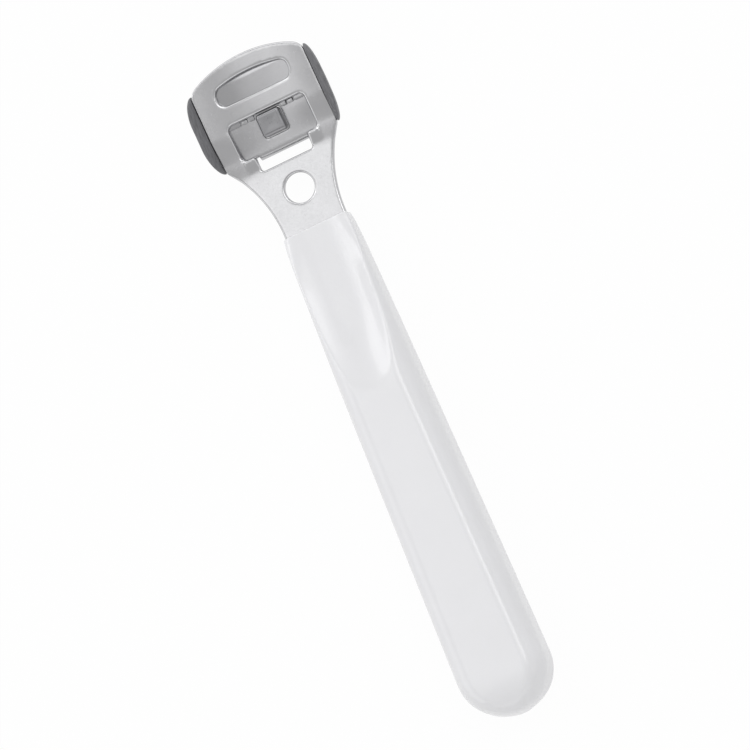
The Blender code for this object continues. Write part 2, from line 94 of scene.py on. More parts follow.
addCamera()
print("camera placed")


# The stamped sheet, seen flat: y is measured from the line where the head bends up
sheet = {
    "thick": 0.0012,
    "width": 0.0276,
    "hollowRadius": 0.067,  # hollow across the head
    "frontRise": 0.0036,  # bow of the front edge
    "cornerRadius": 0.0032,
    "crank": math.radians(8),
    "bendLength": 0.0024,
    "flareRadius": 0.030,
    "flareCorner": 0.003,
    "neckWidth": 0.0150,
    "neckStraight": 0.0008,
    "neckBury": 0.0008,  # neck inside the handle's front
    "neckCorner": 0.0007,
    "neckReach": 0.0161,
    "holeWidth": 0.0067,
    "holeStation": 0.0068,
    "tangWidth": 0.009,
    "tangLength": 0.062,
    "tangEnd": 0.004,
    "tangHole": 0.0032,
    "tangHoleShares": (0.3, 0.72),
    "fadeShares": (0.58, 0.84, 1.18),  # of the reach: hollow full, at the hinge and gone
    "hingeShare": 0.3,  # of the hollow, left at the hinge
    "edge": 0.00055,  # roundness of the tumbled edges
    "sideEdge": 0.00025,  # and beside the grips
    "sideStart": 0.0012,  # where it starts to ease, ahead of the side
    "sideEase": 0.001,
    "lineStep": 0.0002,  # spacing of the points along outlines
    "windowStep": 0.00015,
    "seedStep": 0.00042,  # and of those between them
    "tangSeedStep": 0.0009,
}

# Openings and hinge, as distances behind the tip
station = {
    "oblong": (0.0040, 0.0093, 0.0174, 0.0018),  # start, end, length and corner
    "oblongBow": 0.030,
    "windowStart": 0.0135,
    "windowEnd": 0.0219,
    "windowWidth": 0.0186,
    "windowCorner": 0.0013,
    "slotWidth": 0.0125,
    "slotCorner": 0.0006,
    "shoulderCorner": 0.0006,
    "hinge": 0.0219,
    "hingeLevel": -0.00275,  # pin's middle under the middle of the sheet
    "knuckleRadius": 0.00125,
    "knuckleInner": 0.0099,
    "knuckleOuter": 0.0119,
    "knuckleEdge": 0.00012,
    "knuckleSeedStep": 0.0004,
    "boreRadius": 0.00065,
    "boreSides": 48,
    "reach": 0.02565,  # tip to the bend
}

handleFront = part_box("handle")[1].y
bendLine = handleFront + sheet["neckReach"]
sheetLevel = frame["record"]["mounts"][1]["pos_m"][2] - sheet["thick"] / 2


def fromTip(distance):
    # y = reach - distance behind the tip
    return station["reach"] - distance


def smooth(share):
    # Eased step 3s^2 - 2s^3, held at 0 and 1
    share = np.clip(share, 0, 1)
    return share * share * (3 - 2 * share)


def hollow(x, y):
    # Height x^2 / 2R, times a share that eases to the hinge's and then to nothing
    full, hinge, none = (share * station["reach"] for share in sheet["fadeShares"])
    behind = station["reach"] - y
    ahead = 1 - (1 - sheet["hingeShare"]) * smooth((behind - full) / (hinge - full))
    after = sheet["hingeShare"] * (1 - smooth((behind - hinge) / (none - hinge)))
    return np.where(behind < hinge, ahead, after) * x * x / (2 * sheet["hollowRadius"])


def crank(x, y, z):
    # Wraps the flat sheet round the bend: angle = run into the bend / its radius, then
    # straight on
    half = sheet["bendLength"] / 2
    radius = sheet["bendLength"] / sheet["crank"]
    run = np.clip(y + half, 0, sheet["bendLength"])
    angle = run / radius
    beyond = y + half - run
    outY = (radius - z) * np.sin(angle) - half + beyond * np.cos(angle)
    outZ = radius - (radius - z) * np.cos(angle) + beyond * np.sin(angle)
    return np.stack([x, outY + bendLine, outZ + sheetLevel], axis=-1)


def onSheet(x, y, z):
    # z above the middle of the hollow, bent sheet
    return crank(x, y, z + hollow(x, y))


# Meshes
def addMesh(name, verts, faces):
    # The signed volume of fans from the first corners tells whether to turn the faces round
    mesh = bpy.data.meshes.new(name)
    mesh.from_pydata(verts.tolist(), [], faces)
    tri = np.array([(f[0], f[i], f[i + 1]) for f in faces for i in range(1, len(f) - 1)])
    a, b, c = (verts[tri[:, i]] for i in range(3))
    if np.einsum("ij,ij->", a, np.cross(b, c)) < 0:
        mesh.flip_normals()
    mesh.shade_smooth()
    return addObject(name, mesh)


def ringSolid(name, rings):
    # Closed solid through rings (rows, count, 3): quads between neighbours, and at each end a
    # fan from the ring's middle
    rows, count = rings.shape[:2]
    verts = np.concatenate([rings.reshape(-1, 3), rings[:1].mean(1), rings[-1:].mean(1)])
    i = np.arange(rows - 1)[:, None] * count
    j = np.arange(count)
    k = (j + 1) % count
    quads = np.stack([i + j, i + k, i + count + k, i + count + j], -1).reshape(-1, 4)
    last = (rows - 1) * count
    low = np.stack([np.full(count, rows * count), k, j], -1)
    high = np.stack([np.full(count, rows * count + 1), last + j, last + k], -1)
    return addMesh(name, verts, quads.tolist() + low.tolist() + high.tolist())


arcSteps = 40  # points along a plain arc
cornerSteps = 16  # steps round a corner
leastPoints = 12  # in any outline
nearlyStraight = 1e-6  # least turn of a corner


def unit(vectors):
    # Each row over its own length
    return vectors / np.maximum(np.linalg.norm(vectors, axis=1, keepdims=True), tiny)


def runAlong(line):
    # Running length at each point of a line
    return np.concatenate([[0], np.cumsum(np.linalg.norm(np.diff(line, axis=0), axis=1))])


def outline(corners, step):
    # Closed line through (x, y, radius) corners. The arc at a corner has its centre on the
    # bisector, radius / sin(half the opening) away, and its spokes swing evenly between the
    # two touching points. The line is then cut into even steps by its running length.
    corner = np.array(corners, float)
    here, radius = corner[:, :2], corner[:, 2:]
    before, after = (unit(np.roll(here, way, 0) - here) for way in (1, -1))
    opening = np.arccos(np.clip((before * after).sum(1, keepdims=True), -1, 1)) / 2
    depth = unit(before + after) * radius / np.sin(opening)
    first = before * radius / np.tan(opening) - depth
    last = after * radius / np.tan(opening) - depth
    turn = np.maximum(math.pi - 2 * opening, nearlyStraight)[:, None]
    share = np.linspace(0, 1, cornerSteps + 1)[None, :, None]
    spokes = (np.sin((1 - share) * turn) * first[:, None]
              + np.sin(share * turn) * last[:, None]) / np.sin(turn)
    line = ((here + depth)[:, None] + spokes).reshape(-1, 2)
    line = np.concatenate([line, line[:1]])
    run = runAlong(line)
    keep = np.concatenate([[True], np.diff(run) > tiny])
    even = np.linspace(0, run[-1], max(leastPoints, round(run[-1] / step)), endpoint=False)
    return np.stack([np.interp(even, run[keep], line[keep, i]) for i in range(2)], -1)


def rectangle(left, right, back, front, corner, step):
    # Four sides and four equal round corners
    return outline([(left, back, corner), (right, back, corner),
                    (right, front, corner), (left, front, corner)], step)


def resampled(loop, count):
    # x and y at even shares of the loop's points, so that every ring has the same count
    share = np.linspace(0, len(loop), count, endpoint=False)
    return [np.interp(share, np.arange(len(loop) + 1), np.append(loop[:, i], loop[0, i]))
            for i in range(2)]


def mirrored(rightSide):
    # The right side's corners from front to back, then the left side's the other way
    return rightSide + [(-x, y, r) for x, y, r in reversed(rightSide) if x > 0]


def bow(halfWidth, rise, front, corner):
    # Right half of a bowed front: x = R sin a, y = front - R + R cos a, up to its round corner
    radius = (halfWidth ** 2 + rise ** 2) / (2 * rise)
    angle = np.linspace(0, math.asin(halfWidth / radius), arcSteps)
    x, y = radius * np.sin(angle), front - radius + radius * np.cos(angle)
    free = x < halfWidth - corner
    return [(a, b, 0) for a, b in zip(x[free], y[free])] + [(x[-1], y[-1], corner)]


def isInside(points, loop):
    # Even-odd count of the loop's sides that a ray towards +X crosses
    x, y = points[:, :1], points[:, 1:]
    x0, y0 = loop.T
    x1, y1 = np.roll(loop, -1, 0).T
    crosses = (y0 > y) != (y1 > y)
    at = x0 + (y - y0) * (x1 - x0) / np.where(y1 == y0, 1, y1 - y0)
    return (crosses & (x < at)).sum(1) % 2 == 1


def isMetal(points, borders):
    # Inside the first border and outside the openings
    return isInside(points, borders[0]) & ~np.any([isInside(points, b) for b in borders[1:]], 0)


def staggered(xLow, xHigh, yLow, yHigh, step):
    # Rows of points, every second row moved by half a step
    rows = np.arange(yLow, yHigh, step * math.sqrt(3) / 2)
    x = np.arange(xLow, xHigh, step)[None, :] + (np.arange(len(rows)) % 2)[:, None] * step / 2
    return np.stack([x, np.broadcast_to(rows[:, None], x.shape)], -1).reshape(-1, 2)


seedClearance = 0.7  # least distance from a seed to a border, in border steps
seedBatch = 500  # seeds measured at once


def sheetSolid(name, loops, seeds, halfThick, edge, lift, steps=5):
    # A plate with openings. Round each loop the section is a quarter circle of the edge's
    # radius, the upright wall and a second quarter circle: inset = e (1 - sin a), height =
    # h - e (1 - cos a). Top and bottom are triangles over the pulled-in loops and the seeds.
    # The edge is one radius, or a function of x and y.
    turned, normals, edges = [], [], []
    for i, loop in enumerate(loops):
        x, y = loop.T
        area = np.sum(x * np.roll(y, -1) - np.roll(x, -1) * y)
        turned.append(loop if (area > 0) == (i == 0) else loop[::-1])
        along = unit(np.roll(turned[i], -1, 0) - np.roll(turned[i], 1, 0))
        normals.append(np.stack([-along[:, 1], along[:, 0]], -1))
        edges.append(edge(*turned[i].T) if callable(edge) else np.full(len(loop), edge))
    borders = [loop + normal * wide[:, None]
               for loop, normal, wide in zip(turned, normals, edges)]
    seeds = seeds[isMetal(seeds, borders)]
    rim = np.concatenate(borders)
    spacing = np.linalg.norm(borders[0][1] - borders[0][0])
    batches = np.array_split(seeds, max(1, len(seeds) // seedBatch))
    nearest = np.concatenate([np.sqrt(((batch[:, None] - rim[None]) ** 2).sum(-1)).min(1)
                              for batch in batches])
    seeds = seeds[nearest > spacing * seedClearance]
    flat = np.concatenate([rim, seeds])
    starts = np.cumsum([0] + [len(border) for border in borders])
    sides = [(int(s + i), int(s + (i + 1) % len(b))) for s, b in zip(starts, borders)
             for i in range(len(b))]
    points, _, tris, origin, _, _ = delaunay_2d_cdt(flat.tolist(), sides, [], 0, tiny)
    # A point added where borders cross is taken to its nearest neighbour
    index = np.array([o[0] if o else np.argmin(((flat - p) ** 2).sum(1))
                      for p, o in zip(np.array(points), origin)])
    tris = index[np.array([list(t) for t in tris])]
    tris = tris[isMetal(flat[tris].mean(1), borders)]
    a, b, c = (flat[tris[:, i]] for i in range(3))
    clockwise = np.cross(b - a, c - a) < 0
    tris[clockwise] = tris[clockwise][:, ::-1]
    half = halfThick(flat[:, 0], flat[:, 1])
    count = len(flat)
    verts = [np.column_stack([flat, half]), np.column_stack([flat, -half])]
    faces = tris.tolist() + (tris[:, ::-1] + count).tolist()
    total = 2 * count
    angles = np.linspace(0, quarter, steps + 1)[1:]
    for start, loop, normal, wide in zip(starts, turned, normals, edges):
        size = len(loop)
        rows = [np.arange(size) + start]
        for side in (1, -1):
            for angle in angles[::side]:
                at = loop + normal * wide[:, None] * (1 - math.sin(angle))
                high = side * (halfThick(at[:, 0], at[:, 1]) - wide * (1 - math.cos(angle)))
                verts.append(np.column_stack([at, high]))
                rows.append(np.arange(size) + total)
                total += size
        rows.append(np.arange(size) + start + count)
        for upper, lower in zip(rows, rows[1:]):
            quad = np.stack([upper, lower, np.roll(lower, -1), np.roll(upper, -1)], -1)
            faces += quad.tolist()
    verts = np.concatenate(verts)
    return addMesh(name, lift(verts[:, 0], verts[:, 1], verts[:, 2]), faces)


def joined(parts):
    # One object from several closed shells
    bpy.ops.object.select_all(action="DESELECT")
    for part in parts:
        part.select_set(True)
    bpy.context.view_layer.objects.active = parts[0]
    bpy.ops.object.join()
    return parts[0]


def arcPath(centre, radius, start, end, count):
    # centre + r (cos a, sin a)
    angle = np.linspace(start, end, count)
    return np.stack([centre[0] + radius * np.cos(angle),
                     centre[1] + radius * np.sin(angle)], -1)


def evenHalf(thick):
    # The same half thickness all over
    return lambda x, y: np.full(x.shape, thick / 2)


# Head frame
def frameOutline():
    # Bowed front, straight sides, concave flares to the neck, and the narrower tang
    half, neck, tang = (sheet[key] / 2 for key in ("width", "neckWidth", "tangWidth"))
    front = -sheet["neckReach"]
    centre = (neck + sheet["flareRadius"], front + sheet["neckStraight"])
    sweep = math.acos((centre[0] - half) / sheet["flareRadius"])
    flare = arcPath(centre, sheet["flareRadius"], math.pi - sweep, math.pi, arcSteps)
    side = bow(half, sheet["frontRise"], fromTip(0), sheet["cornerRadius"])
    side.append((*flare[0], sheet["flareCorner"]))
    side += [(x, y, 0) for x, y in flare if y < flare[0, 1] - sheet["flareCorner"]]
    buried = front - sheet["neckBury"]
    side += [(neck, buried, sheet["neckCorner"]), (tang, buried, 0),
             (tang, front - sheet["tangLength"], sheet["tangEnd"])]
    return outline(mirrored(side), sheet["lineStep"])


def oblongOutline(start, end, length, corner):
    # Straight towards the neck, bowed towards the tip by R - sqrt(R^2 - half^2)
    half, radius = length / 2, station["oblongBow"]
    side = bow(half, radius - math.sqrt(radius ** 2 - half ** 2), fromTip(start), corner)
    side.append((half, fromTip(end), corner))
    return outline(mirrored(side), sheet["lineStep"])


def windowOutline():
    # The wide window and the narrower slot behind it
    window, slot = station["windowWidth"] / 2, station["slotWidth"] / 2
    return outline(mirrored([
        (window, fromTip(station["windowStart"]), station["windowCorner"]),
        (window, fromTip(station["windowEnd"]), station["windowCorner"]),
        (slot, fromTip(station["windowEnd"]), station["shoulderCorner"]),
        (slot, fromTip(station["reach"]), station["slotCorner"])]), sheet["windowStep"])


def roundHole(y, width):
    # A circle on the middle line
    count = round(math.pi * width / sheet["lineStep"])
    return arcPath((0, y), width / 2, 0, math.tau, count)[:-1]


shoulder = {
    "rise": 0.00035,  # height of the pressed hump beside the slot
    "inner": 0.0061,
    "outer": 0.0096,
    "sideEase": 0.0010,
    "front": 0.0214,
    "crest": 0.0223,
    "back": 0.0252,
}


def humpHeight(x, y):
    # Rise times four eased steps: in from the slot, out towards the edge, up at the front
    # and down behind
    away, behind = np.abs(x), station["reach"] - y
    across = (smooth((away - shoulder["inner"]) / shoulder["sideEase"])
              * smooth((shoulder["outer"] - away) / shoulder["sideEase"]))
    up = smooth((behind - shoulder["front"]) / (shoulder["crest"] - shoulder["front"]))
    down = smooth((shoulder["back"] - behind) / (shoulder["back"] - shoulder["crest"]))
    return shoulder["rise"] * across * up * down


def onFrame(x, y, z):
    # The bent sheet with its two humps
    return onSheet(x, y, z + humpHeight(x, y))


def frameEdge(x, y):
    # Full roundness, eased to the smaller one on the last stretch before the head's sides
    share = smooth((np.abs(x) - sheet["width"] / 2 + sheet["sideStart"]) / sheet["sideEase"])
    return sheet["edge"] + (sheet["sideEdge"] - sheet["edge"]) * share


def makeEar(sign):
    # Knuckle under the sheet: a plate in Y and Z with a round foot and the pin's bore, its
    # thickness running along X
    radius, level = station["knuckleRadius"], station["hingeLevel"]
    y = fromTip(station["hinge"])
    middle = (station["knuckleInner"] + station["knuckleOuter"]) / 2
    root = float(hollow(middle, y))
    foot = arcPath((y, level), radius, -math.pi, 0, arcSteps)
    side = np.concatenate([foot, [(y + radius, root), (y - radius, root)]])
    turn = station["boreSides"] + 1
    bore = arcPath((y, level), station["boreRadius"], 0, math.tau, turn)[:-1]
    seeds = staggered(y - radius, y + radius, level - radius, root, station["knuckleSeedStep"])
    thick = evenHalf(station["knuckleOuter"] - station["knuckleInner"])
    return sheetSolid("ear", [side, bore], seeds, thick, station["knuckleEdge"],
                      lambda a, b, c: crank(sign * middle + c, a, b), steps=3)


def makeHeadFrame():
    # The flat outline with its openings, given thickness, pressed, bent and joined to its ears
    front = -sheet["neckReach"]
    loops = [frameOutline(), oblongOutline(*station["oblong"]), windowOutline(),
             roundHole(-sheet["holeStation"], sheet["holeWidth"])]
    loops += [roundHole(front - sheet["tangLength"] * share, sheet["tangHole"])
              for share in sheet["tangHoleShares"]]
    half = sheet["width"] / 2
    seeds = staggered(-half, half, front, fromTip(0), sheet["seedStep"])
    tang = staggered(-half, half, front - sheet["tangLength"], front, sheet["tangSeedStep"])
    plate = sheetSolid("head_frame_steel", loops, np.concatenate([seeds, tang]),
                       evenHalf(sheet["thick"]), frameEdge, onFrame)
    return joined([plate, makeEar(-1), makeEar(1)])


headFrame = makeHeadFrame()
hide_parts("head_frame")
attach(headFrame, "body")
print("head frame made")


# Blade holder: a plate under the head whose strap rolls round the pin
holder = {
    "thick": 0.0006,
    "level": -0.0018,  # middle of its sheet under the middle of the frame's
    "setback": 0.0004,
    "tail": 0.02035,
    "tailCorner": 0.0032,
    "shoulderHalf": 0.0096,  # half width beside the hinge
    "rollRadius": 0.00095,  # middle line of the roll
    "rollTurn": math.radians(285),
    "rollSteps": 150,
    "edge": 0.00018,
    "seedStep": 0.00045,
    "rollSeedStep": 0.00017,
    "mouth": (0.0024, 0.0079, 0.0174, 0.0012),  # start, end, length and corner
    "lugWidth": 0.0014,
    "lugOffset": 0.0056,
    "lugRings": 5,
    "tabLength": 0.008,
    "tabStart": 0.0095,
    "tabHeight": 0.002,
    "tabThick": 0.0004,
    "tabRings": 12,
}

# Middle line of the roll, from the top of the pin backwards and round it
roll = arcPath((fromTip(station["hinge"]), station["hingeLevel"]), holder["rollRadius"],
               quarter, quarter + holder["rollTurn"], holder["rollSteps"])
rollRun = runAlong(roll)
rollAlong = unit(np.gradient(roll, rollRun, axis=0))


def onHolder(x, y, z):
    # Ahead of the hinge the hollow plate, behind it path(run) + z across the path, with the
    # plate's hollow eased out over the top of the roll
    root = fromTip(station["hinge"])
    run = np.clip(root - y, 0, rollRun[-1])
    middle = [np.interp(run, rollRun, roll[:, i]) for i in range(2)]
    along = [np.interp(run, rollRun, rollAlong[:, i]) for i in range(2)]
    rolledY = middle[0] + along[1] * z
    left = smooth(1 - run / station["knuckleRadius"])
    rolledZ = middle[1] - along[0] * z + hollow(x, root) * left
    ahead = y > root
    return crank(x, np.where(ahead, y, rolledY),
                 np.where(ahead, holder["level"] + z + hollow(x, y), rolledZ))


def makeBladeHolder():
    # A plate with the mouth and the latch's hole, its strap rolled, joined to lugs and tabs
    half = sheet["width"] / 2
    tail, root = fromTip(holder["tail"]), fromTip(station["hinge"])
    rollHalf = station["slotWidth"] / 2 - fit
    side = bow(half, sheet["frontRise"], fromTip(holder["setback"]), sheet["cornerRadius"])
    side += [(half, tail, holder["tailCorner"]), (holder["shoulderHalf"], tail, fit),
             (holder["shoulderHalf"], root, fit), (rollHalf, root, 0),
             (rollHalf, root - rollRun[-1], holder["edge"] * 2)]
    mouth = oblongOutline(*holder["mouth"])
    hole, slit, step = latch["half"] + latch["slit"], latch["slit"], sheet["lineStep"]
    latchHole = rectangle(-hole, hole, fromTip(latch["end"] + slit),
                          fromTip(latch["start"] - slit), latch["corner"], step)
    seeds = np.concatenate([
        staggered(-half, half, root, fromTip(0), holder["seedStep"]),
        staggered(-rollHalf, rollHalf, root - rollRun[-1], root, holder["rollSeedStep"])])
    parts = [sheetSolid("blade_holder_steel", [outline(mirrored(side), step), mouth, latchHole],
                        seeds, evenHalf(holder["thick"]), holder["edge"], onHolder)]
    for sign in (-1, 1):
        parts += [makeLug(sign), makeTab(sign)]
    return joined(parts)


def makeLug(sign):
    # An upright block that places the blade. At its top each ring is drawn in by
    # e (1 - cos a) at the height of e sin a.
    middle = sign * holder["lugOffset"]
    half, edge = holder["lugWidth"] / 2, holder["edge"]
    back, front = fromTip(blade["end"]), fromTip(blade["end"] - blade["notch"] + fit)
    section = rectangle(middle - half, middle + half, back, front, edge, edge / 2)
    low, high = holder["level"], blade["level"] + blade["thick"] / 2
    centre = section.mean(0)
    rings = []
    for angle in np.linspace(0, quarter, holder["lugRings"]):
        inner = centre + (section - centre) * (1 - edge / half * (1 - math.cos(angle)))
        rings.append(onSheet(*inner.T, high - edge + edge * math.sin(angle)))
    return ringSolid("lug", np.array([onSheet(*section.T, low), *rings]))


def makeTab(sign):
    # The holder's edge that turns up inside a grip: an L-shaped section carried along Y
    half, wide, thin = sheet["width"] / 2, holder["tabThick"], holder["thick"] / 2
    root, inner, outer = half - wide, half + fit, half + fit + wide
    foot = holder["level"] + float(hollow(half - wide / 2, fromTip(0)))
    top, edge = foot + holder["tabHeight"], holder["edge"]
    section = outline([(root, foot - thin, 0), (outer, foot - thin, edge), (outer, top, edge),
                       (inner, top, edge), (inner, foot + thin, edge), (root, foot + thin, 0)],
                      edge)
    front = fromTip(holder["tabStart"])
    rings = [crank(sign * section[:, 0], y, section[:, 1])
             for y in np.linspace(front - holder["tabLength"], front, holder["tabRings"])]
    return ringSolid("tab", np.array(rings))


# Latch tongue in the window
latch = {
    "start": 0.01395,
    "end": 0.01925,
    "half": 0.00285,
    "thick": 0.0006,
    "proud": 0.00005,
    "corner": 0.0007,  # round corners seen from above
    "leastCorner": 0.0002,
    "shoulder": 0.00075,  # round top edge
    "dish": 0.00003,  # pressed hollow in its top
    "dishMargin": 0.0016,
    "slit": 0.00008,  # sheared gap between it and the holder
    "points": 160,  # in a ring
    "topShares": (0.03, 0.85, 14),  # first and last ring of the top, and their count
    "rings": (6, 10, 10),  # inside, outside and round the shoulder
}

blade = {
    "start": 0.0034,
    "end": 0.0144,
    "length": 0.0216,
    "thick": 0.0003,
    "level": -0.00105,
    "bevel": 0.0012,
    "edgeShare": 0.2,
    "notch": 0.0012,
    "centreNotch": 0.0066,
    "corner": 0.0002,
    "roundShare": 0.9,  # of the cutting edge's thickness
    "lineStep": 0.00012,
    "seedStep": 0.0004,
}

ringStep = 0.0001  # spacing of the points in the latch's and the grips' rings
cornerShare = 0.9  # largest corner of such a ring, in half sides


def makeLatch():
    # A pressed cap, as rings of one rounded outline drawn in towards its middle: up the inside,
    # round the foot, up the outside, round the shoulder (inset r (1 - cos a), height r sin a)
    # and over the top, which sinks by an eased step into its dish
    front, back = fromTip(latch["start"]), fromTip(latch["end"])
    top = sheet["thick"] / 2 + latch["proud"]
    foot = holder["level"] - holder["thick"] / 2
    rings = []

    def addRing(inset, height):
        half = latch["half"] - inset
        corner = min(max(latch["corner"] - inset, latch["leastCorner"]), half * cornerShare)
        loop = rectangle(-half, half, back + inset, front - inset, corner, ringStep)
        x, y = resampled(loop, latch["points"])
        rings.append(crank(x, y, height))

    def overTop(level, start, sign):
        # From the shoulder to the middle, or with sign -1 from the middle outwards
        reach = latch["half"] - start
        for share in np.linspace(*latch["topShares"])[::sign]:
            inset = start + reach * share
            sunk = latch["dish"] * smooth((inset - latch["shoulder"]) / latch["dishMargin"])
            addRing(inset, level - sunk)

    thick, shoulder = latch["thick"], latch["shoulder"]
    insideRings, outsideRings, shoulderRings = latch["rings"]
    overTop(top - thick, thick + shoulder / 2, -1)
    addRing(thick, top - thick - shoulder / 2)
    for height in np.linspace(top - thick - shoulder, foot, insideRings):
        addRing(thick, height)
    for height in np.linspace(foot, top - shoulder, outsideRings, endpoint=False):
        addRing(0, height)
    for angle in np.linspace(0, quarter, shoulderRings):
        addRing(shoulder * (1 - math.cos(angle)), top - shoulder + shoulder * math.sin(angle))
    overTop(top, shoulder, 1)
    return ringSolid("latch_tongue_steel", np.array(rings))


def makeBlade():
    # A strip with a straight front and three notches behind: one for the latch, two for lugs
    half, corner = blade["length"] / 2, blade["corner"]
    back, front = fromTip(blade["end"]), fromTip(blade["start"])
    deep = back + blade["notch"]
    outer = holder["lugOffset"] + holder["lugWidth"] / 2 + fit
    inner = holder["lugOffset"] - holder["lugWidth"] / 2 - fit
    centre = blade["centreNotch"] / 2
    side = [(half, front), (half, back), (outer, back), (outer, deep), (inner, deep),
            (inner, back), (centre, back), (centre, deep)]
    loop = outline(mirrored([(x, y, corner) for x, y in side]), blade["lineStep"])
    bevelEnd = fromTip(blade["start"] + blade["bevel"])

    def halfThick(x, y):
        # Full thickness, falling in a straight line across the bevel to the cutting edge
        along = np.clip((y - bevelEnd) / blade["bevel"], 0, 1)
        return blade["thick"] / 2 * (1 - (1 - blade["edgeShare"]) * along)

    seeds = staggered(-half, half, back, front, blade["seedStep"])
    edge = blade["thick"] / 2 * blade["edgeShare"] * blade["roundShare"]
    return sheetSolid("blade_steel", [loop], seeds, halfThick, edge,
                      lambda x, y, z: onSheet(x, y, blade["level"] + z), steps=2)


bladeHolder = makeBladeHolder()
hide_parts("blade_holder")
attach(bladeHolder, "holder")
latchTongue = makeLatch()
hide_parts("latch_tongue")
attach(latchTongue, "latch")
bladeStrip = makeBlade()
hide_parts("blade")
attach(bladeStrip, "holder")
print("holder, latch and blade made")


# Hinge pin
pin = {
    "radius": 0.00035,
    "half": 0.0116,
    "dome": 0.00018,
    "faceShare": 0.35,  # flat middle of the domed ends
    "domeRings": 6,
    "barRings": 24,
    "sides": 32,
}


def makePin():
    # Round bar along X. At its ends x = half - dome (1 - sin a), and the radius falls to the
    # flat face's by cos a.
    angle = np.linspace(0, quarter, pin["domeRings"])[::-1]
    endX = pin["half"] - pin["dome"] * (1 - np.sin(angle))
    endR = pin["radius"] * (pin["faceShare"] + (1 - pin["faceShare"]) * np.cos(angle))
    bar = np.linspace(-pin["half"], pin["half"], pin["barRings"])[1:-1]
    x = np.concatenate([-endX, bar, endX[::-1]])
    r = np.concatenate([endR, np.full(len(bar), pin["radius"]), endR[::-1]])
    turn = np.linspace(0, math.tau, pin["sides"], endpoint=False)
    y = fromTip(station["hinge"]) + r[:, None] * np.cos(turn)
    z = station["hingeLevel"] + r[:, None] * np.sin(turn)
    return ringSolid("hinge_pin_steel", crank(np.broadcast_to(x[:, None], y.shape), y, z))


hingePin = makePin()
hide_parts("hinge_pin")
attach(hingePin, "body")


# Side grips
grip = {
    "start": 0.0041,
    "length": 0.0186,
    "height": 0.0066,
    "aboveEdge": 0.0036,
    "thick": 0.0022,
    "footShare": 0.5,  # thickness left at the foot
    "corner": 0.0022,
    "endTaper": 0.0060,
    "topRound": 0.0018,
    "footRound": 0.0012,
    "innerFall": 0.0027,
    "innerRound": 0.00025,
    "innerShares": (1, 0.6, 0.3, 0.1),
    "innerDepth": 0.02,  # of the thickness, taken by the round inner edge
    "crown": 0.00008,
    "seam": 0.00012,  # gap to the head's edge
    "points": 200,  # in a ring
    "firstAngle": 0.03,
    "rings": 30,
    "crownRings": 9,
}


def makeGrip(name, sign):
    # Rings stacked outwards from the head: depth share sin a, ends drawn in by
    # taper (1 - cos a), foot and top by their rounds (1 - cos a), the top also by
    # fall (1 - sin a). A lean that grows from the foot upwards scales the depth, and the
    # outer face closes to its middle with a crown (1 - share^2).
    front = fromTip(grip["start"])
    back = front - grip["length"]
    top = float(hollow(sheet["width"] / 2, fromTip(0))) + grip["aboveEdge"]
    bottom = top - grip["height"]
    inner = sheet["width"] / 2 + grip["seam"]
    thick = grip["thick"] + fit - grip["seam"] - grip["crown"]
    rings = []

    def lean(z):
        return grip["footShare"] + (1 - grip["footShare"]) * (z - bottom) / grip["height"]

    def addRing(depth, end, low, high):
        corner = min(grip["corner"], (high - low) / 2 * cornerShare)
        loop = rectangle(back + end, front - end, low, high, corner, ringStep)
        y, z = resampled(loop, grip["points"])
        rings.append(np.stack([inner + thick * depth * lean(z), y, z], -1))

    small = grip["innerRound"]
    for inset in small * np.array(grip["innerShares"]):
        share = (small - inset) / small
        addRing(grip["innerDepth"] * share ** 2, inset, bottom + inset,
                top - grip["innerFall"] - inset)
    for angle in np.linspace(grip["firstAngle"], quarter, grip["rings"]):
        depth, drawn = math.sin(angle), 1 - math.cos(angle)
        addRing(depth, grip["endTaper"] * drawn, bottom + grip["footRound"] * drawn,
                top - grip["topRound"] * drawn - grip["innerFall"] * (1 - depth))
    last = rings[-1]
    middle = last.mean(0)
    for share in np.linspace(1, 0, grip["crownRings"])[1:-1]:
        ring = middle + (last - middle) * share
        ring[:, 0] += grip["crown"] * (1 - share ** 2)
        rings.append(ring)
    x, y, z = np.array(rings).transpose(2, 0, 1)
    return ringSolid(name, crank(sign * x, y, z))


leftGrip = makeGrip("left_grip_plastic", -1)
rightGrip = makeGrip("right_grip_plastic", 1)
for piece, node in ((leftGrip, "left_side_grip"), (rightGrip, "right_side_grip")):
    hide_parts(node)
    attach(piece, "holder")
print("pin and grips made")


# Handle
handle = {
    "length": 0.1167,
    "frontWidth": 0.0158,
    "tailWidth": 0.0206,
    "height": 0.0146,
    "frontHeight": 0.0136,
    "corner": 0.0042,  # round lower corners
    "shoulderWide": 0.0044,  # the top's long round shoulders: their width
    "shoulderDeep": 0.0055,  # and their depth
    "widthPower": 0.8,
    "shoulderLength": 0.0036,
    "shoulderInset": 0.0003,
    "endLength": 0.0104,
    "endPower": 3.4,
    "chin": 0.0007,
    "chinLength": 0.008,
    "noseRound": 0.00025,
    "dishCover": 0.001,
    "dishLength": 0.0390,
    "dishWidth": 0.0158,
    "dishRound": 0.020,
    "dishWall": 0.0016,
    "frontWall": 0.6,  # share of the walls' height that is left at the front
    "dishFloorShare": 0.25,
    "dishSoft": 0.00035,
    "lipWide": 0.0030,  # round sides of the dish at the front
    "lipDeep": 0.0014,
    "lipLength": 0.018,
    "crown": 0.00025,
    "mouthGrip": 0.0001,  # how far the front closes into the neck's faces
    "cornerLimit": 0.92,  # widest round corner, in half sides
    "dishPast": 0.004,  # close rings go on this far behind the dish
    "dishReach": 1.3,  # dish lengths over which it is blended in
    "rings": (7, 16, 130, 60, 40),  # of the nose, front, dish, body and tail
    "across": 97,  # points across the top
    "sideRows": 8,
    "pocketRings": 24,
    "faceRings": 6,
}


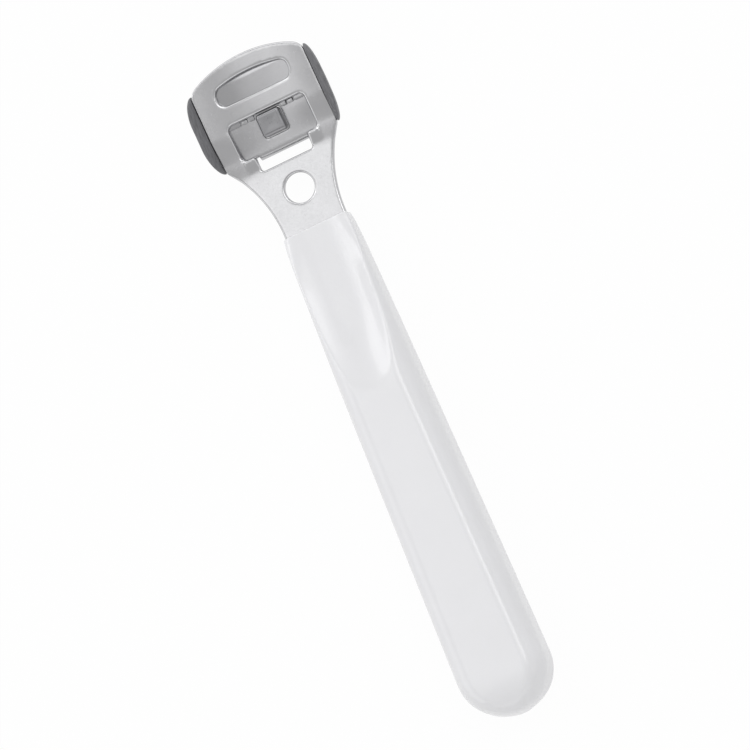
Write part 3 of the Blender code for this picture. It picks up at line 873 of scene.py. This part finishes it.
def softMin(a, b, width):
    # The lower of two heights, blended over a small width: -w log(exp(-a / w) + exp(-b / w))
    return -width * np.logaddexp(-a / width, -b / width)


def handleHalf(back):
    # Half width: a power curve from front to tail, pulled in by a quarter ellipse at the front
    widest = handle["length"] - handle["endLength"]
    share = np.minimum(1, back / widest) ** handle["widthPower"]
    half = (handle["frontWidth"] + (handle["tailWidth"] - handle["frontWidth"]) * share) / 2
    ahead = np.maximum(0, 1 - back / handle["shoulderLength"])
    return half - handle["shoulderInset"] * (1 - np.sqrt(1 - ahead ** 2))


def dishHeight(x, back):
    # Floor rising in a straight line to the dish's end, plus walls that grow with the square
    # of the distance from the flat middle, lower at the front by an eased share
    low = sheetLevel + sheet["thick"] / 2 + handle["dishCover"]
    floor = low + (handle["height"] - handle["dishWall"] - low) * back / handle["dishLength"]
    along = np.maximum(0, back - handle["dishLength"] + handle["dishRound"])
    spread = np.hypot(along / handle["dishRound"], np.abs(x) / (handle["dishWidth"] / 2))
    share = handle["dishFloorShare"]
    wall = np.maximum(0, (spread - share) / (1 - share))
    grown = handle["frontWall"] + (1 - handle["frontWall"]) * smooth(back / handle["dishRound"])
    return floor + handle["dishWall"] * grown * wall ** 2


def makeHandle():
    # Rings along the handle: a box with round corners, z = middle +- (tall - fall). Its top is
    # the soft lower one of the long shoulders and the dish with its lip, less a slight crown.
    # The front edge is drawn in by a quarter circle. The tail closes as an ellipse seen from
    # above, and by (1 - end^power)^(1 / power) seen from the side.
    bodyEnd = handle["length"] - handle["endLength"]
    nose, front = handle["noseRound"], handle["shoulderLength"]
    dishEnd = handle["dishLength"] + handle["dishPast"]
    noseRings, frontRings, dishRings, bodyRings, tailRings = handle["rings"]
    back = np.concatenate([
        nose * (1 - np.cos(np.linspace(0, quarter, noseRings)))[:-1],
        np.linspace(nose, front, frontRings, endpoint=False),
        np.linspace(front, dishEnd, dishRings, endpoint=False),
        np.linspace(dishEnd, bodyEnd, bodyRings, endpoint=False),
        bodyEnd + handle["endLength"] * np.sin(np.linspace(0, quarter, tailRings)[:-1])])
    back = back[:, None]
    end = np.clip((back - bodyEnd) / handle["endLength"], 0, 1)
    drawn = nose - np.sqrt(np.maximum(0, nose ** 2 - np.maximum(0, nose - back) ** 2))
    half = handleHalf(back) * np.sqrt(1 - end ** 2) - drawn
    grown = smooth(back / handle["dishLength"])
    top = handle["frontHeight"] + (handle["height"] - handle["frontHeight"]) * grown
    bottom = handle["chin"] * (1 - smooth(back / handle["chinLength"]))
    middle = (top + bottom) / 2
    power = handle["endPower"]
    tall = (top - bottom) / 2 * (1 - end ** power) ** (1 / power) - drawn
    x = half * np.sin(math.pi * (np.linspace(0, 1, handle["across"]) - 0.5))[None, :]

    def cornerFall(wide, deep):
        # Drop of an elliptic corner: deep (1 - sqrt(1 - (beyond / wide)^2))
        wide = np.minimum(wide, half * handle["cornerLimit"])
        deep = np.minimum(deep, tall * handle["cornerLimit"])
        beyond = np.clip((np.abs(x) - half + wide) / wide, 0, 1)
        return deep * (1 - np.sqrt(1 - beyond ** 2))

    body = middle + tall - cornerFall(handle["shoulderWide"], handle["shoulderDeep"])
    left = 1 - smooth(back / handle["lipLength"])
    lip = cornerFall(handle["lipWide"], handle["lipDeep"]) * left
    dish = softMin(body, dishHeight(x, back) - drawn - lip, handle["dishSoft"])
    upper = np.where(back < handle["dishLength"] * handle["dishReach"], dish, body)
    crown = handle["crown"] * (x / np.maximum(half, tiny)) ** 2 * grown
    upper = upper - crown * (1 - end)
    lower = middle - tall + cornerFall(handle["corner"], handle["corner"])
    side = np.linspace(0, 1, handle["sideRows"])[None, 1:-1]
    rightX = np.broadcast_to(half, (len(back), side.shape[1]))
    rightZ = upper[:, -1:] + (lower[:, -1:] - upper[:, -1:]) * side
    leftZ = lower[:, :1] + (upper[:, :1] - lower[:, :1]) * side
    ringX = np.concatenate([x, rightX, x[:, ::-1], -rightX], 1)
    ringZ = np.concatenate([upper, rightZ, lower[:, ::-1], leftZ], 1)
    ringY = np.broadcast_to(handleFront - back, ringX.shape)
    rings = np.stack([ringX, ringY, ringZ], -1)
    return ringSolid("handle_plastic", np.concatenate([pocketRings(rings[0]), rings]))


def pocketRings(face):
    # From the bottom of the tang's pocket out to its mouth, which closes on the neck, then over
    # the flat front face. Each point lies on the ray of the face's point of the same count.
    offX, offZ = face[:, 0], face[:, 2] - sheetLevel

    def around(halfX, halfZ):
        scale = np.minimum(halfX / np.maximum(np.abs(offX), tiny),
                           halfZ / np.maximum(np.abs(offZ), tiny))
        return np.stack([offX * scale, face[:, 1], sheetLevel + offZ * scale], -1)

    half, wide = sheet["thick"] / 2, sheet["tangWidth"] / 2 + fit
    pocket, mouth = around(wide, half + fit), around(wide, half - handle["mouthGrip"])
    depths = np.linspace(sheet["tangLength"] + fit, sheet["neckBury"], handle["pocketRings"])
    shares = np.linspace(0, 1, handle["faceRings"], endpoint=False)
    return np.array([pocket - (0, depth, 0) for depth in depths]
                    + [mouth + (face - mouth) * share for share in shares])


handleShell = makeHandle()
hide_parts("handle")
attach(handleShell, "body")
print("handle made")


# Finishes: colours as they look in flat light, except the latch tongue's, which is darkened as
# painted shade; sizes in metres
metal = {
    # colour and roughness of each piece
    "frame": ((0.53, 0.53, 0.54), 0.24),
    "holder": ((0.50, 0.50, 0.51), 0.24),
    # the tongue's colour is darker than its steel: painted shade for the gap and window around
    # it
    "tongue": ((0.30, 0.30, 0.31), 0.3),
    "blade": ((0.45, 0.45, 0.46), 0.16),
    "pin": ((0.56, 0.56, 0.57), 0.18),
    "grain": 0.0005,  # size of the pits; the next sizes are in grains
    "cloudGrains": 9,
    "pitDepth": 0.12,
    "lineGrains": 0.35,
    "lineDepth": 0.1,
    "lineStretch": (12, 1, 1),
    "lineBump": 1.6,  # in pit bumps
    "bump": 0.05,
    "tones": (0.97, 1.03),  # darkest and palest, in shares of the colour
    "polish": (0.86, 1.16),  # least and most, in shares of the roughness
}

white = {
    "colour": (0.70, 0.70, 0.715),
    "tones": (0.992, 1.008),
    "patch": 0.012,
    "wave": 0.0016,
    "waveDepth": 0.0001,
    "bump": 0.03,
    "sockets": {
        "Roughness": 0.3,
        "Subsurface Weight": 0.12,
        "Subsurface Radius": (0.0012, 0.0012, 0.0011),
        "Subsurface Scale": 1,
        "Coat Weight": 0.55,
        "Coat Roughness": 0.15,
    },
}

dark = {
    "colour": (0.115, 0.115, 0.122),
    "tones": (0.8, 1.35),
    "streak": 0.0003,
    "streakStretch": (1, 8, 1),
    "grain": 0.00028,
    "grainDepth": 0.00006,
    "bump": 0.25,
    "rough": (0.36, 0.52),
}

noiseSpan = (0.3, 0.7)  # stretch of a noise between its low and high values


def setInputs(node, values):
    for name, value in values.items():
        node.inputs[name].default_value = value
    return node


class Nodes:
    # Short way to add shader nodes to one material
    def __init__(self, name):
        self.material = bpy.data.materials.new(name)
        self.material.use_nodes = True
        self.tree = self.material.node_tree
        self.join = self.tree.links.new
        self.shader = self.tree.nodes["Principled BSDF"]
        self.coords = self.add("ShaderNodeTexCoord", {}).outputs["Object"]

    def add(self, kind, values):
        return setInputs(self.tree.nodes.new(kind), values)

    def noise(self, grain, stretch=(1, 1, 1), detail=3, rough=0.55):
        # Noise whose lumps are about the grain's size, drawn out by the stretch
        mapping = self.add("ShaderNodeMapping", {"Scale": [1 / s for s in stretch]})
        texture = self.add("ShaderNodeTexNoise", {"Scale": 1 / grain, "Detail": detail,
                                                  "Roughness": rough})
        self.join(self.coords, mapping.inputs["Vector"])
        self.join(mapping.outputs["Vector"], texture.inputs["Vector"])
        return texture.outputs["Fac"]

    def polish(self, source, low, high):
        # Roughness between two values
        node = self.add("ShaderNodeMapRange", {"From Min": noiseSpan[0], "To Min": low,
                                               "From Max": noiseSpan[1], "To Max": high})
        self.join(source, node.inputs["Value"])
        self.join(node.outputs["Result"], self.shader.inputs["Roughness"])

    def tint(self, source, colour, tones):
        # Base colour times a factor between the two tones
        ramp = self.add("ShaderNodeValToRGB", {})
        for element, position, tone in zip(ramp.color_ramp.elements, noiseSpan, tones):
            element.position = position
            element.color = (*(min(1, c * tone) for c in colour), 1)
        self.join(source, ramp.inputs["Fac"])
        self.join(ramp.outputs["Color"], self.shader.inputs["Base Color"])

    def bump(self, source, strength, depth):
        # Put on top of the bump that is already there
        node = self.add("ShaderNodeBump", {"Strength": strength, "Distance": depth})
        last = self.shader.inputs["Normal"]
        if last.links:
            self.join(last.links[0].from_socket, node.inputs["Normal"])
        self.join(source, node.inputs["Height"])
        self.join(node.outputs["Normal"], last)


def steel(name, kind, drawn=False):
    # Cloudy tone, uneven polish and fine pits; drawn steel has long marks too
    nodes = Nodes(name)
    setInputs(nodes.shader, {"Metallic": 1})
    (colour, rough), grain, bump = metal[kind], metal["grain"], metal["bump"]
    nodes.tint(nodes.noise(grain * metal["cloudGrains"], detail=4), colour, metal["tones"])
    pits = nodes.noise(grain, detail=5, rough=0.65)
    nodes.polish(pits, *(rough * share for share in metal["polish"]))
    nodes.bump(pits, bump, grain * metal["pitDepth"])
    if drawn:
        marks = nodes.noise(grain * metal["lineGrains"], metal["lineStretch"], 4, rough=0.7)
        nodes.bump(marks, bump * metal["lineBump"], grain * metal["lineDepth"])
    return nodes.material


def whitePlastic():
    # Glossy under a clear coat, with faint patches and waves
    nodes = Nodes("white_moulding")
    setInputs(nodes.shader, white["sockets"])
    nodes.tint(nodes.noise(white["patch"], detail=2), white["colour"], white["tones"])
    nodes.bump(nodes.noise(white["wave"], detail=2), white["bump"], white["waveDepth"])
    return nodes.material


def darkPlastic():
    # Half matt and grainy, with streaks along the grip
    nodes = Nodes("dark_moulding")
    grain = nodes.noise(dark["grain"], detail=4, rough=0.6)
    streaks = nodes.noise(dark["streak"], stretch=dark["streakStretch"])
    nodes.tint(streaks, dark["colour"], dark["tones"])
    nodes.polish(grain, *dark["rough"])
    nodes.bump(grain, dark["bump"], dark["grainDepth"])
    return nodes.material


def paint(piece, material):
    # This material alone
    piece.data.materials.clear()
    piece.data.materials.append(material)


paint(headFrame, steel("frame_tumbled_steel", "frame"))
paint(bladeHolder, steel("holder_tumbled_steel", "holder"))
# The tongue's steel is darkened as painted shade
paint(latchTongue, steel("tongue_spring_steel", "tongue"))
paint(bladeStrip, steel("blade_rolled_steel", "blade", drawn=True))
paint(hingePin, steel("pin_drawn_steel", "pin", drawn=True))
paint(handleShell, whitePlastic())
darkFinish = darkPlastic()
for piece in (leftGrip, rightGrip):
    paint(piece, darkFinish)
for name, node in frame["nodes"].items():
    paint(node, darkFinish if "grip" in name else headFrame.data.materials[0])
paint(frame["nodes"]["handle"], handleShell.data.materials[0])
print("finishes made")


# Studio: a pale floor, softboxes round the tip side, a narrow strip at the right that draws the
# handle's ridge, low walls all round, and the rest from the sky
studio = {
    "floorSize": 6.0,
    "floorLevel": -0.0002,
    "floorColour": (0.7, 0.7, 0.7),
    "floorOwnLight": 0.97,  # share of its white that the object's shadow can't dim
    "sky": 0.63,
    "lamps": {
        # name: (place, sizes nearest to X and Y or up, brightness that is added to the sky's)
        "tip_side_softbox": ((-0.51, 0.33, 1.58), (0.70, 0.62), 1.05),
        "tip_left_softbox": ((-0.84, 0.90, 1.16), (0.55, 0.45), 3.0),
        "right_softbox": ((0.38, 0.56, 1.50), (0.34, 1.0), 1.0),
        "right_strip": ((0.72, 0.56, 1.38), (0.40, 1.0), 3.0),
        "left_wall": ((-1.5, 0.1, 0.55), (1.0, 2.4), 0.8),
        "right_wall": ((1.5, 0, 0.55), (1.0, 2.2), 0.4),
        "tip_wall": ((0, 1.5, 0.62), (2.2, 1.0), 1.1),
        "tail_wall": ((0, -1.5, 0.62), (2.2, 1.0), 0.7),
    },
}


def addFloor():
    # Seen by the camera, or in gloss or glass, it glows white over its own shaded colour
    half = studio["floorSize"] / 2
    mesh = bpy.data.meshes.new("floor")
    corners = [(-half, -half), (half, -half), (half, half), (-half, half)]
    mesh.from_pydata([(x, y, studio["floorLevel"]) for x, y in corners], [], [(0, 1, 2, 3)])
    floor = addObject("floor", mesh)
    material = bpy.data.materials.new("floor_white")
    material.use_nodes = True
    nodes, join = material.node_tree.nodes, material.node_tree.links.new
    nodes.clear()
    diffuse = nodes.new("ShaderNodeBsdfDiffuse")
    diffuse.inputs["Color"].default_value = (*studio["floorColour"], 1)
    path = nodes.new("ShaderNodeLightPath")
    seen = path.outputs["Is Camera Ray"]
    for ray in ("Is Glossy Ray", "Is Transmission Ray"):
        either = nodes.new("ShaderNodeMath")
        either.operation = "MAXIMUM"
        join(seen, either.inputs[0])
        join(path.outputs[ray], either.inputs[1])
        seen = either.outputs[0]
    share = nodes.new("ShaderNodeMath")
    share.operation = "MULTIPLY"
    share.inputs[1].default_value = studio["floorOwnLight"]
    join(seen, share.inputs[0])
    mix = nodes.new("ShaderNodeMixShader")
    join(share.outputs[0], mix.inputs["Fac"])
    join(diffuse.outputs[0], mix.inputs[1])
    join(nodes.new("ShaderNodeEmission").outputs[0], mix.inputs[2])
    join(mix.outputs[0], nodes.new("ShaderNodeOutputMaterial").inputs["Surface"])
    mesh.materials.append(material)


def addLamps():
    # Watts = brightness times pi times area, so that the lamp's face has that brightness.
    # Each lamp faces the origin, its first side as near to X as it can lie.
    for name, (place, size, brightness) in studio["lamps"].items():
        data = bpy.data.lights.new(name, "AREA")
        data.shape = "RECTANGLE"
        data.size, data.size_y = size
        data.energy = brightness * math.pi * size[0] * size[1]
        lamp = addObject(name, data)
        outward = Vector(place).normalized()
        across = (Vector((1, 0, 0)) - outward * outward.x).normalized()
        turn = Matrix((across, outward.cross(across), outward)).transposed().to_4x4()
        lamp.matrix_world = Matrix.Translation(place) @ turn


def addSky():
    # Even white from all round
    world = bpy.data.worlds.new("studio_sky")
    world.use_nodes = True
    setInputs(world.node_tree.nodes["Background"],
              {"Color": (1, 1, 1, 1), "Strength": studio["sky"]})
    bpy.context.scene.world = world


addFloor()
addLamps()
addSky()
bpy.context.scene.view_settings.view_transform = "Standard"
print("studio lit")
